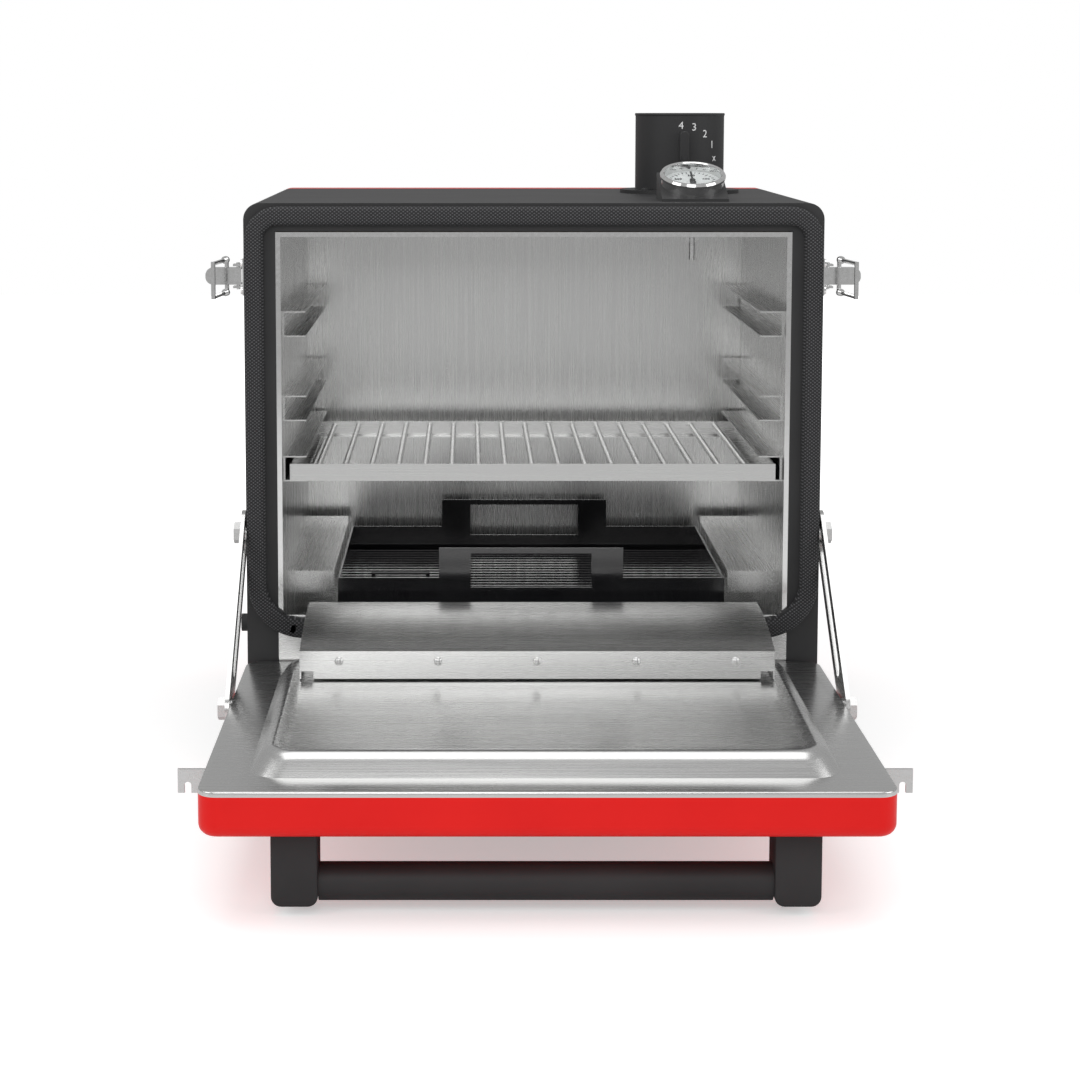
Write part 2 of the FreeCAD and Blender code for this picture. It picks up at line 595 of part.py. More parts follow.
def ash_drawer():
    """Ash drawer with its front and pull, and the runners under it."""
    tray = box("drawer_tray", "-drawer_half, fit_gap, drawer_low", "drawer_half, drawer_back, drawer_high")
    room = box("drawer_room", "-drawer_half + skin, fit_gap + skin, drawer_low + skin",
               "drawer_half - skin, drawer_back - skin, drawer_high + 1")
    front = box("drawer_face", "-front_half, -fit_gap - 2, drawer_low - 3", "front_half, -fit_gap, front_high")
    neck = box("drawer_neck", "-drawer_half, -fit_gap, drawer_low", "drawer_half, fit_gap + skin, drawer_high")
    bar = rod("pull_bar", "-60, -26, (drawer_low + drawer_high)/2", "4", "120", "x")
    posts = [rod("pull_post", f"{place}, -26, (drawer_low + drawer_high)/2", "4", "25", "y")
             for place in ("-56", "56")]
    keep("ash_drawer", fuse("drawer", cut("drawer_box", tray, room), front, neck, bar, *posts))
    runners = [box("runner", f"{low}, 4*skin, foot_height + skin", f"{high}, drawer_back, drawer_low - fit_gap")
               for low, high in (("-drawer_half", "-drawer_half + 20"), ("drawer_half - 20", "drawer_half"))]
    guides = [box("guide", f"{low}, 4*skin, foot_height + skin", f"{high}, drawer_back, drawer_low + 18")
              for low, high in (("-drawer_half - 3", "-drawer_half - 1"), ("drawer_half + 1", "drawer_half + 3"))]
    keep("drawer_runners", group("runner_set", *runners, *guides))


# ---------------------------------------------------------------- door
def door():
    """Drop-down door: shell, inner panel, filling, handle, hinge lugs and keepers."""
    floor = "door_plane - door_thick"
    lip = "door_plane - panel_edge"
    shell = rounded("door_outer", f"-body_width/2, -door_reach, {floor}",
                    f"body_width/2, -door_gap, {lip}", ("z", "", "corner_round"), ("", "z-", "edge_round"))
    hollow = rounded("door_inner", f"-body_width/2 + skin, -door_reach + skin, {floor} + skin",
                     f"body_width/2 - skin, -door_gap - skin, {lip} + skin",
                     ("z", "", "corner_round - skin"), ("", "z-", "edge_round - skin"))
    keep("door_shell", cut("door", shell, hollow))

    top = rounded("panel_outer", f"-body_width/2, -door_reach, {lip}",
                  "body_width/2, -door_gap, door_plane", ("z", "", "corner_round"), ("", "z+", "skin"))
    under = rounded("panel_under", f"-body_width/2 + skin, -door_reach + skin, {lip} - skin",
                    "body_width/2 - skin, -door_gap - skin, door_plane - skin",
                    ("z", "", "corner_round - skin"))
    panel = fuse("panel_solid", top, field("field_outer", 0))
    keep("door_panel", cut("panel", panel, under, field("field_inner", size["skin"])))
    keep("door_filling", box("filling", f"-body_width/2 + edge_round, -door_reach + edge_round, {floor} + skin",
                             f"body_width/2 - edge_round, -door_gap - edge_round, {lip}"))

    posts = []
    for side in (-1, 1):
        middle = f"{side}*post_place"
        posts.append(rounded("post", f"{middle} - post_side/2, -door_reach + handle_reach - post_side/2, post_bottom",
                             f"{middle} + post_side/2, -door_reach + handle_reach + post_side/2, {floor}",
                             ("", "z-", "6")))
    keep("handle_posts", group("post_pair", *posts))
    keep("handle_bar", rod("bar", "-post_place + post_side/2, -door_reach + handle_reach, handle_height",
                           "handle_radius", "2*post_place - post_side", "x"))

    lugs = []
    for side in (-1, 1):
        middle = f"{side}*lug_place"
        foot = box("lug_foot", f"{middle} - 20, -door_gap, {floor} + edge_round",
                   f"{middle} + 20, -door_gap + 3.2, {lip}")
        bridge = box("lug_bridge", f"{middle} - lug_thick/2, -door_gap, hinge_height - 40.5",
                     f"{middle} + lug_thick/2, hinge_back + 5, door_plane - 1")
        arm = box("lug_arm", f"{middle} - lug_thick/2, hinge_back - 5.6, hinge_height - 40.5",
                  f"{middle} + lug_thick/2, hinge_back + 5, hinge_height")
        eye = rod("lug_eye", f"{middle} - lug_thick/2, hinge_back, hinge_height", "lug_radius",
                  "lug_thick", "x")
        bore = rod("lug_bore", f"{middle} - lug_thick, hinge_back, hinge_height",
                   "hinge_radius + hinge_fit", "2*lug_thick", "x")
        lugs.append(cut("lug", fuse("lug_solid", foot, bridge, arm, eye), bore))
    keep("hinge_lugs", group("lug_pair", *lugs))

    hook = box("keeper_hook", "body_width/2, -keeper_place - keeper_thick/2, door_plane - 22",
               "body_width/2 + keeper_reach, -keeper_place + keeper_thick/2, door_plane - 0.5")
    notch = rod("keeper_notch", "body_width/2 + notch_off, -keeper_place - keeper_thick, door_plane - 15",
                "wire_radius + 0.75", "2*keeper_thick", "y")
    mouth = box("keeper_mouth", "body_width/2 + notch_off - wire_radius - 0.75, -keeper_place - keeper_thick, "
                "door_plane - 30", "body_width/2 + notch_off + wire_radius + 0.75, "
                "-keeper_place + keeper_thick, door_plane - 15")
    foot = box("keeper_foot", f"body_width/2, -keeper_place - 14, {floor} + 15",
               f"body_width/2 + keeper_thick/2, -keeper_place + 14, {lip} - 1")
    right = keep("keeper_right", fuse("keeper", cut("keeper_blade", hook, notch, mouth), foot))
    keep("keeper_left", mirrored("keeper_copy", right))


def field(name, inset):
    """Raised field of the door's inner panel as a tapered block, lowered by inset."""
    half = size["body_width"] / 2 - size["door_rim"] - inset
    back = -size["door_gap"] - size["door_rim"] - inset
    front = -size["door_reach"] + size["door_rim"] + inset
    slope = size["field_slope"]
    block = doc.addObject("Part::Wedge", name)
    low = -2 * size["skin"]
    high = size["field_height"] - inset
    block.Xmin, block.Xmax, block.X2min, block.X2max = -half, half, slope - half, half - slope
    block.Ymin, block.Ymax = low, high
    block.Zmin, block.Zmax, block.Z2min, block.Z2max = -back, -front, slope - back, -front - slope
    block.Placement = Placement(Vector(0, 0, size["door_plane"]), Rotation(Vector(1, 0, 0), 90))
    return block


def ember_guard():
    """Curved guard over the lower seal, screwed to a channel on the raised field."""
    skin = size["guard_skin"]
    half = size["guard_half"]
    deck = size["door_plane"] + size["field_height"]
    front = -size["guard_front"]
    lip = -size["guard_lip"]
    top = size["guard_top"]
    strip = size["strip_high"]
    low = size["strip_low"]
    middle = ((front + 0.45 * (lip - front)), strip + 0.8 * (top - strip))
    shell = plate("guard_plate", [
        (front, low), (front, strip), (middle[0], middle[1], "via"), (lip, top), (lip, top - skin),
        (middle[0] + 0.3 * skin, middle[1] - skin, "via"), (front + skin, strip - 0.3 * skin),
        (front + skin, low)], -half, 2 * half)
    cheeks = []
    for start in (-half - skin, half):
        cheeks.append(plate("guard_cheek", [(front, deck), (front, strip), (middle[0], middle[1], "via"),
                                            (lip, top), (lip, top - 8), (front + 60, deck)], start, skin))
    keep("ember_guard", fuse("guard", shell, *cheeks))
    channel = plate("guard_channel", [(front + skin, deck), (front + skin, strip - 4),
                                      (front + 2 * skin, strip - 4), (front + 2 * skin, deck + skin),
                                      (front + 26, deck + skin), (front + 26, deck)],
                    -half + 12, 2 * half - 24)
    keep("guard_bracket", channel)
    screws = []
    for share in (-0.84, -0.42, 0, 0.42, 0.84):
        item = doc.addObject("Part::Feature", "guard_screw")
        head = Part.makeSphere(5, Vector(0, 2.6, 0)).common(Part.makeBox(12, 5, 12, Vector(-6, -5, -6)))
        item.Shape = head
        item.Placement = Placement(Vector(share * half, front, (low + strip) / 2), Rotation())
        screws.append(item)
    keep("guard_screws", group("screw_row", *screws))


# ---------------------------------------------------------------- stays and latches
def stays():
    """Slotted door stays with their bolts, right-hand set and mirrored copy."""
    low = Vector(0, -size["stay_low_y"], size["stay_low_z"])
    top = Vector(0, size["stay_top_y"], size["stay_top_z"])
    line = top - low
    length = line.Length
    line.normalize()
    side = Vector(0, -line.z, line.y)
    half = size["stay_wide"] / 2
    past = 16
    start = size["body_width"] / 2 + size["stay_off"]

    def at(along, across):
        point = low + line * along + side * across
        return point.y, point.z

    def capsule(name, begin, end, radius, first, thick):
        return plate(name, [at(begin, radius), (*at(begin - radius, 0), "via"), at(begin, -radius),
                            at(end, -radius), (*at(end + radius, 0), "via"), at(end, radius)],
                     first, thick)

    blade = capsule("stay_blade", 0, length - half + size["slot_half"] + past, half, start, size["stay_thick"])
    slot = capsule("stay_slot", 2.2 * half, length, size["slot_half"], start - 1, size["stay_thick"] + 2)
    eye = rod("stay_eye", "body_width/2, -stay_low_y, stay_low_z", "bolt_radius + hinge_fit",
              "stay_off + 2*stay_thick", "x")
    right = keep("stay_right", cut("stay", blade, slot, eye))
    keep("stay_left", mirrored("stay_copy", right))

    bolts = []
    shank = rod("stay_shank", "body_width/2, -stay_low_y, stay_low_z", "bolt_radius",
                "stay_off + stay_thick + fit_gap", "x")
    washer = rod("stay_washer", "body_width/2, -stay_low_y, stay_low_z", "bolt_radius + 4",
                 "stay_off - fit_gap", "x")
    head = hexagon("stay_head", "body_width/2 + stay_off + stay_thick + fit_gap, -stay_low_y, stay_low_z",
                   "head_radius", "head_height")
    bolt = fuse("stay_bolt", shank, washer, head)
    bolts = [bolt, mirrored("stay_bolt_copy", bolt)]
    keep("stay_bolts", group("stay_bolt_pair", *bolts))

    bush = rod("slide_bush", "body_width/2 + fit_gap, stay_top_y, stay_top_z", "bush_radius",
               "stay_off + stay_thick", "x")
    head = hexagon("slide_head", "body_width/2 + stay_off + stay_thick + fit_gap, stay_top_y, stay_top_z",
                   "head_radius", "head_height")
    right = keep("slide_bolt_right", fuse("slide_bolt", bush, head))
    keep("slide_bolt_left", mirrored("slide_bolt_copy", right))


def latches():
    """Side latches: base with pivot pin, lever, and wire bail; mirrored to the left."""
    pivot = "body_width/2 + latch_off, latch_back"
    foot = box("latch_foot", "body_width/2, latch_back - 19, latch_height - 19",
               "body_width/2 + 2, latch_back + 19, latch_height + 19")
    ears = [box("latch_ear", f"body_width/2, latch_back - 6.5, latch_height {low}",
                f"body_width/2 + latch_off + 5, latch_back + 6.5, latch_height {high}")
            for low, high in (("- 12.5", "- 10.5"), ("+ 10.5", "+ 12.5"))]
    pin = rod("latch_pin", f"{pivot}, latch_height - 14", "2", "28")
    rivets = [rod("latch_rivet", f"body_width/2 + 2, latch_back + {back}, latch_height + {up}", "4", "2", "x")
              for back in (-14, 14) for up in (-14, 14)]
    right = keep("latch_base_right", fuse("latch_base", foot, pin, *ears, *rivets))
    keep("latch_base_left", mirrored("latch_base_copy", right))

    block = rounded("lever_block", "body_width/2 + latch_off - 3.5, latch_back - 4.5, latch_height - 9",
                    "body_width/2 + latch_off + lever_length, latch_back + 4.5, latch_height + 9",
                    ("y", "x+", "8"))
    room = box("lever_room", "body_width/2, latch_back - 2.5, latch_height - 7",
               "body_width/2 + latch_off + lever_length - 2, latch_back + 10, latch_height + 7")
    hole = rod("lever_pivot", f"{pivot}, latch_height - 20", "2 + hinge_fit", "40")
    eye = rod("lever_eye", "body_width/2 + latch_off + latch_throw, latch_back, latch_height - 20",
              "wire_radius + hinge_fit", "40")
    right = keep("latch_lever_right", cut("latch_lever", block, room, hole, eye))
    keep("latch_lever_left", mirrored("latch_lever_copy", right))

    reach = math.hypot(size["bail_back"], size["bail_out"])
    slant = Rotation(Vector(0, 0, 1), Vector(size["bail_out"], -size["bail_back"], 0))
    corner_x = size["body_width"] / 2 + size["latch_off"] + size["latch_throw"]
    pieces = [rod("bail_pin", "body_width/2 + latch_off + latch_throw, latch_back, latch_height - bail_half - 2",
                  "wire_radius", "2*bail_half + 4"),
              rod("bail_bar", "body_width/2 + latch_off + latch_throw + bail_out, latch_back - bail_back, "
                  "latch_height - bail_half - 2", "wire_radius", "2*bail_half + 4")]
    for up in (-1, 1):
        leg = doc.addObject("Part::Feature", "bail_leg")
        leg.Shape = Part.makeCylinder(size["wire_radius"] - 0.1, reach)
        height = size["latch_height"] + up * size["bail_half"]
        leg.Placement = Placement(Vector(corner_x, size["latch_back"], height), slant)
        nut = doc.addObject("Part::Feature", "bail_nut")
        nut.Shape = Part.makeCylinder(4, 5, Vector(0, 0, 4))
        nut.Placement = leg.Placement
        pieces += [leg, nut]
    right = keep("latch_bail_right", fuse("latch_bail", *pieces))
    keep("latch_bail_left", mirrored("latch_bail_copy", right))


# ---------------------------------------------------------------- build, check and write
casing()
cavity()
rack()
cooking_grate()
charcoal_basket()
flue()
thermometer()
air_regulator()
ash_drawer()
door()
ember_guard()
stays()
latches()
doc.recompute()

for item in doc.Objects:
    if {"Invalid", "Error"} & set(item.State):
        raise RuntimeError(f"{item.Label} is {item.State}")
for item in parts:
    if item.Shape.isNull() or not item.Shape.isValid() or not item.Shape.Solids:
        raise RuntimeError(f"{item.Label} has no valid solid")

os.makedirs("parts", exist_ok=True)
for item in parts:
    item.Shape.exportStep(f"parts/{item.Label}.step")
print(len(parts), "nodes,", sum(len(item.Shape.Solids) for item in parts), "solids")
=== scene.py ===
"""Charcoal oven grill: finishes, added detail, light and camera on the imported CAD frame."""

import logging
import math
from dataclasses import dataclass, field
from enum import Enum

import bmesh
import bpy
from mathutils import Matrix, Vector

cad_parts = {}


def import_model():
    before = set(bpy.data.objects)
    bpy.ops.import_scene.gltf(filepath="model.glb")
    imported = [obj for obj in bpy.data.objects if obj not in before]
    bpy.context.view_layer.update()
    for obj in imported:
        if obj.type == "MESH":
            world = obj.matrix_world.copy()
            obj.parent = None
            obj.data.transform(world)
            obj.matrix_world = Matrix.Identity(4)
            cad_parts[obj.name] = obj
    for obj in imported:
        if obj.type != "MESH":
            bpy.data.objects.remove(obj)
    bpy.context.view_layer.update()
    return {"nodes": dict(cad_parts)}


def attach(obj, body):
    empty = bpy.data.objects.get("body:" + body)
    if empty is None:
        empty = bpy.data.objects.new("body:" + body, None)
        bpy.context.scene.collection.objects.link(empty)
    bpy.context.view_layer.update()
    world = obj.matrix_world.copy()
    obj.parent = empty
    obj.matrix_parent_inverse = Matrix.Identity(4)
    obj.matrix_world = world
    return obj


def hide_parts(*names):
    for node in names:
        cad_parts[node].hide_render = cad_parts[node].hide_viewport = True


LOG = logging.getLogger("charcoal_oven")
Colour = tuple[float, float, float, float]
Point = tuple[float, float, float]


class Grain(Enum):
    """Direction of the brush marks on a steel sheet."""

    ALONG_X = (6.0, 1100.0, 1100.0)
    ALONG_Y = (1100.0, 6.0, 1100.0)
    ALONG_Z = (1100.0, 1100.0, 6.0)


class NodeKit:
    """Builds one material's node tree around a Principled shader."""

    def __init__(self, name: str) -> None:
        """Start an empty material.

        Args:
            name: material name.
        """
        self.material = bpy.data.materials.new(name)
        self.material.use_nodes = True
        self.tree = self.material.node_tree
        self.shader = self.tree.nodes["Principled BSDF"]

    def add(self, kind: str, **sockets: object) -> bpy.types.Node:
        """Add a node and set the named inputs.

        Args:
            kind: node type, such as "ShaderNodeTexNoise".
            sockets: input values, with "_" for a blank in the socket's name.

        Returns:
            The new node.
        """
        node = self.tree.nodes.new(kind)
        for key, value in sockets.items():
            node.inputs[key.replace("_", " ")].default_value = value
        return node

    def link(self, source: bpy.types.NodeSocket, target: bpy.types.NodeSocket) -> None:
        """Join two sockets."""
        self.tree.links.new(source, target)

    def noise(self, stretch: Point, detail: float = 4.0) -> bpy.types.NodeSocket:
        """Noise on Object coordinates, stretched along the axes.

        Args:
            stretch: frequency along X, Y and Z, per metre.
            detail: octaves of the noise.

        Returns:
            The noise value socket.
        """
        place = self.add("ShaderNodeTexCoord")
        mapping = self.add("ShaderNodeMapping", Scale=stretch)
        texture = self.add("ShaderNodeTexNoise", Scale=1.0, Detail=detail)
        self.link(place.outputs["Object"], mapping.inputs["Vector"])
        self.link(mapping.outputs["Vector"], texture.inputs["Vector"])
        return texture.outputs["Fac"]

    def ramp(self, source: bpy.types.NodeSocket, low: Colour, high: Colour,
             start: float = 0.35, stop: float = 0.65) -> bpy.types.NodeSocket:
        """Turn a value into a colour between two ends.

        Args:
            source: value socket.
            low: colour at the start.
            high: colour at the stop.
            start: value that gives the low colour.
            stop: value that gives the high colour.

        Returns:
            The colour socket.
        """
        node = self.add("ShaderNodeValToRGB")
        node.color_ramp.elements[0].position = start
        node.color_ramp.elements[0].color = low
        node.color_ramp.elements[1].position = stop
        node.color_ramp.elements[1].color = high
        self.link(source, node.inputs["Fac"])
        return node.outputs["Color"]

    def spread(self, source: bpy.types.NodeSocket, low: float, high: float) -> bpy.types.NodeSocket:
        """Map a value of 0.3 to 0.7 onto low to high."""
        node = self.add("ShaderNodeMapRange")
        node.inputs["From Min"].default_value = 0.3
        node.inputs["From Max"].default_value = 0.7
        node.inputs["To Min"].default_value = low
        node.inputs["To Max"].default_value = high
        self.link(source, node.inputs["Value"])
        return node.outputs["Result"]

    def bump(self, source: bpy.types.NodeSocket, strength: float, distance: float) -> None:
        """Raise the surface by a value.

        Args:
            source: height socket.
            strength: 0 to 1.
            distance: height in metres.
        """
        node = self.add("ShaderNodeBump", Strength=strength, Distance=distance)
        self.link(source, node.inputs["Height"])
        self.link(node.outputs["Normal"], self.shader.inputs["Normal"])


@dataclass(frozen=True)
class Enamel:
    """Baked enamel with a slight mottle and a fine skin."""

    name: str
    low: Colour
    high: Colour
    roughness: float
    coat: float
    gloss: float = 0.5
    skin: float = 0.00008
    skin_scale: float = 900.0

    def build(self) -> bpy.types.Material:
        """Make the material."""
        kit = NodeKit(self.name)
        patch = kit.noise((9.0, 9.0, 9.0), 5.0)
        kit.link(kit.ramp(patch, self.low, self.high), kit.shader.inputs["Base Color"])
        kit.link(kit.spread(patch, self.roughness - 0.03, self.roughness + 0.05),
                 kit.shader.inputs["Roughness"])
        kit.shader.inputs["Specular IOR Level"].default_value = self.gloss
        kit.shader.inputs["Coat Weight"].default_value = self.coat
        kit.shader.inputs["Coat Roughness"].default_value = 0.12
        scale = self.skin_scale
        kit.bump(kit.noise((scale, scale, scale), 2.0), 0.35, self.skin)
        return kit.material


@dataclass(frozen=True)
class BrushedSteel:
    """Stainless sheet with brush marks in one direction."""

    name: str
    grain: Grain
    roughness: float = 0.25
    tone: float = 0.64

    def build(self) -> bpy.types.Material:
        """Make the material."""
        kit = NodeKit(self.name)
        marks = kit.noise(self.grain.value, 3.0)
        low = (self.tone * 0.96, self.tone * 0.96, self.tone * 0.955, 1.0)
        high = (self.tone * 1.03, self.tone * 1.03, self.tone * 1.02, 1.0)
        kit.link(kit.ramp(marks, low, high, 0.3, 0.7), kit.shader.inputs["Base Color"])
        kit.link(kit.spread(marks, self.roughness - 0.02, self.roughness + 0.04),
                 kit.shader.inputs["Roughness"])
        kit.shader.inputs["Metallic"].default_value = 1.0
        kit.bump(marks, 0.10, 0.00001)
        return kit.material


@dataclass(frozen=True)
class PlainMetal:
    """Polished or turned metal with faint scratches."""

    name: str
    tone: float
    roughness: float

    def build(self) -> bpy.types.Material:
        """Make the material."""
        kit = NodeKit(self.name)
        wear = kit.noise((240.0, 240.0, 240.0), 6.0)
        low = (self.tone * 0.93, self.tone * 0.93, self.tone * 0.92, 1.0)
        high = (self.tone, self.tone, self.tone, 1.0)
        kit.link(kit.ramp(wear, low, high), kit.shader.inputs["Base Color"])
        kit.link(kit.spread(wear, self.roughness - 0.03, self.roughness + 0.04),
                 kit.shader.inputs["Roughness"])
        kit.shader.inputs["Metallic"].default_value = 1.0
        return kit.material


@dataclass(frozen=True)
class BraidedRope:
    """Dark glass-fibre braid: crossed strands that run round the loop."""

    name: str
    low: Colour = (0.012, 0.012, 0.013, 1.0)
    high: Colour = (0.095, 0.095, 0.100, 1.0)
    strand: float = 720.0

    def build(self) -> bpy.types.Material:
        """Make the material."""
        kit = NodeKit(self.name)
        place = kit.add("ShaderNodeTexCoord")
        heights = []
        for lean in (0.9, -0.9):
            mapping = kit.add("ShaderNodeMapping", Rotation=(0.0, lean, 0.0))
            wave = kit.add("ShaderNodeTexWave", Scale=self.strand / 6.28, Distortion=1.2, Detail=2.0)
            kit.link(place.outputs["Object"], mapping.inputs["Vector"])
            kit.link(mapping.outputs["Vector"], wave.inputs["Vector"])
            heights.append(wave.outputs["Fac"])
        weave = kit.add("ShaderNodeMath")
        weave.operation = "MULTIPLY"
        kit.link(heights[0], weave.inputs[0])
        kit.link(heights[1], weave.inputs[1])
        kit.link(kit.ramp(weave.outputs["Value"], self.low, self.high, 0.1, 0.8),
                 kit.shader.inputs["Base Color"])
        kit.shader.inputs["Roughness"].default_value = 0.85
        kit.bump(weave.outputs["Value"], 0.8, 0.0006)
        return kit.material


@dataclass(frozen=True)
class Plain:
    """Matte rubber, wool, paint or print with a little unevenness."""

    name: str
    low: Colour
    high: Colour
    roughness: float
    skin_scale: float = 400.0

    def build(self) -> bpy.types.Material:
        """Make the material."""
        kit = NodeKit(self.name)
        scale = self.skin_scale
        grain = kit.noise((scale, scale, scale), 4.0)
        kit.link(kit.ramp(grain, self.low, self.high), kit.shader.inputs["Base Color"])
        kit.shader.inputs["Roughness"].default_value = self.roughness
        kit.bump(grain, 0.3, 0.0001)
        return kit.material


@dataclass(frozen=True)
class ClearGlass:
    """Thin clear cover glass."""

    name: str

    def build(self) -> bpy.types.Material:
        """Make the material."""
        kit = NodeKit(self.name)
        haze = kit.noise((60.0, 60.0, 60.0), 2.0)
        kit.link(kit.spread(haze, 0.02, 0.05), kit.shader.inputs["Roughness"])
        kit.shader.inputs["Base Color"].default_value = (0.95, 0.97, 0.98, 1.0)
        kit.shader.inputs["Transmission Weight"].default_value = 1.0
        kit.shader.inputs["IOR"].default_value = 1.12
        return kit.material


@dataclass
class Finishes:
    """Every finish of the oven, built once."""

    red: bpy.types.Material = field(default_factory=lambda: Enamel(
        "red_enamel", (0.74, 0.006, 0.005, 1.0), (0.79, 0.009, 0.007, 1.0), 0.30, 0.0, 0.22).build())
    black: bpy.types.Material = field(default_factory=lambda: Enamel(
        "textured_black_enamel", (0.020, 0.020, 0.021, 1.0), (0.030, 0.030, 0.031, 1.0), 0.55, 0.0,
        0.4, 0.00012, 1400.0).build())
    gloss: bpy.types.Material = field(default_factory=lambda: Enamel(
        "gloss_black_enamel", (0.006, 0.006, 0.007, 1.0), (0.011, 0.011, 0.012, 1.0), 0.14, 0.6,
        0.5, 0.0002, 120.0).build())
    steel_x: bpy.types.Material = field(default_factory=lambda: BrushedSteel(
        "brushed_steel_across", Grain.ALONG_X).build())
    steel_y: bpy.types.Material = field(default_factory=lambda: BrushedSteel(
        "brushed_steel_lengthways", Grain.ALONG_Y).build())
    steel_z: bpy.types.Material = field(default_factory=lambda: BrushedSteel(
        "brushed_steel_upright", Grain.ALONG_Z).build())
    bolt: bpy.types.Material = field(default_factory=lambda: PlainMetal("bolt_steel", 0.62, 0.28).build())
    chrome: bpy.types.Material = field(default_factory=lambda: PlainMetal(
        "bright_chrome", 0.80, 0.10).build())
    rope: bpy.types.Material = field(default_factory=lambda: BraidedRope("braided_rope").build())
    rubber: bpy.types.Material = field(default_factory=lambda: Plain(
        "foot_rubber", (0.015, 0.015, 0.015, 1.0), (0.03, 0.03, 0.03, 1.0), 0.8).build())
    wool: bpy.types.Material = field(default_factory=lambda: Plain(
        "mineral_wool", (0.62, 0.56, 0.40, 1.0), (0.78, 0.74, 0.60, 1.0), 0.95, 160.0).build())
    dial: bpy.types.Material = field(default_factory=lambda: Plain(
        "dial_face", (0.78, 0.78, 0.76, 1.0), (0.84, 0.84, 0.82, 1.0), 0.5).build())
    ink: bpy.types.Material = field(default_factory=lambda: Plain(
        "dial_ink", (0.01, 0.01, 0.01, 1.0), (0.02, 0.02, 0.02, 1.0), 0.5).build())
    paint: bpy.types.Material = field(default_factory=lambda: Plain(
        "scale_paint", (0.75, 0.75, 0.75, 1.0), (0.85, 0.85, 0.85, 1.0), 0.6).build())
    glass: bpy.types.Material = field(default_factory=lambda: ClearGlass("cover_glass").build())


def piece(name: str, mesh: bmesh.types.BMesh, material: bpy.types.Material, body: str,
          smooth: bool = True) -> bpy.types.Object:
    """Turn a bmesh into a piece that rides on a body.

    Args:
        name: piece name.
        mesh: finished bmesh, freed here.
        material: its finish.
        body: body that it moves with.
        smooth: shade it smooth below 35 degrees.

    Returns:
        The new object.
    """
    bmesh.ops.recalc_face_normals(mesh, faces=mesh.faces)
    data = bpy.data.meshes.new(name)
    mesh.to_mesh(data)
    mesh.free()
    data.materials.append(material)
    made = bpy.data.objects.new(name, data)
    bpy.context.scene.collection.objects.link(made)
    if smooth:
        for polygon in data.polygons:
            polygon.use_smooth = True
        data.set_sharp_from_angle(angle=math.radians(35))
    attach(made, body)
    LOG.info("%s: %d faces on %s", name, len(data.polygons), body)
    return made


def block(low: Point, high: Point, edge: float = 0.0, steps: int = 3) -> bmesh.types.BMesh:
    """Make a block between two corners, with rounded edges.

    Args:
        low: lowest corner.
        high: highest corner.
        edge: radius of its edges.
        steps: faces round each edge.

    Returns:
        The block.
    """
    mesh = bmesh.new()
    bmesh.ops.create_cube(mesh, size=1.0)
    size = Vector(high) - Vector(low)
    bmesh.ops.scale(mesh, vec=size, verts=mesh.verts)
    bmesh.ops.translate(mesh, vec=(Vector(high) + Vector(low)) / 2, verts=mesh.verts)
    if edge:
        bmesh.ops.bevel(mesh, geom=mesh.edges, offset=edge, segments=steps, affect="EDGES",
                        profile=0.5, material=-1)
    return mesh


def spun(profile: list[tuple[float, float]], place: Matrix, steps: int = 48) -> bmesh.types.BMesh:
    """Turn a closed profile of (radius, height) about its local Z axis.

    Args:
        profile: points of the section, in metres.
        place: where the turned shape goes.
        steps: faces round it.

    Returns:
        The turned shape.
    """
    mesh = bmesh.new()
    corners = [mesh.verts.new((radius, 0.0, height)) for radius, height in profile]
    edges = [mesh.edges.new((corners[index - 1], corners[index])) for index in range(len(corners))]
    bmesh.ops.spin(mesh, geom=corners + edges, cent=(0, 0, 0), axis=(0, 0, 1), angle=math.tau,
                   steps=steps, use_merge=True)
    bmesh.ops.remove_doubles(mesh, verts=mesh.verts, dist=1e-6)
    bmesh.ops.transform(mesh, matrix=place, verts=mesh.verts)
    return mesh


def absorb(whole: bmesh.types.BMesh, part: bmesh.types.BMesh) -> None:
    """Move one bmesh's faces into another and free it.

    Args:
        whole: the bmesh that grows.
        part: the bmesh that is used up.
    """
    carrier = bpy.data.meshes.new("carrier")
    part.to_mesh(carrier)
    part.free()
    whole.from_mesh(carrier)
    bpy.data.meshes.remove(carrier)


def lettering(name: str, words: str, height: float, place: Matrix, material: bpy.types.Material,
              body: str) -> None:
    """Print generic characters as a thin raised mesh.

    Args:
        name: piece name.
        words: the characters.
        height: character height in metres.
        place: where they go, read along local X with local Z outwards.
        material: their finish.
        body: body that they move with.
    """
    curve = bpy.data.curves.new(name + "_text", "FONT")
    curve.body = words
    curve.size = height
    curve.align_x = "CENTER"
    curve.align_y = "CENTER"
    curve.extrude = 0.0002
    source = bpy.data.objects.new(name + "_text", curve)
    bpy.context.scene.collection.objects.link(source)
    data = bpy.data.meshes.new_from_object(source.evaluated_get(bpy.context.evaluated_depsgraph_get()))
    bpy.data.objects.remove(source)
    data.transform(place)
    data.name = name
    data.materials.clear()
    data.materials.append(material)
    made = bpy.data.objects.new(name, data)
    bpy.context.scene.collection.objects.link(made)
    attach(made, body)
    LOG.info("%s on %s", name, body)


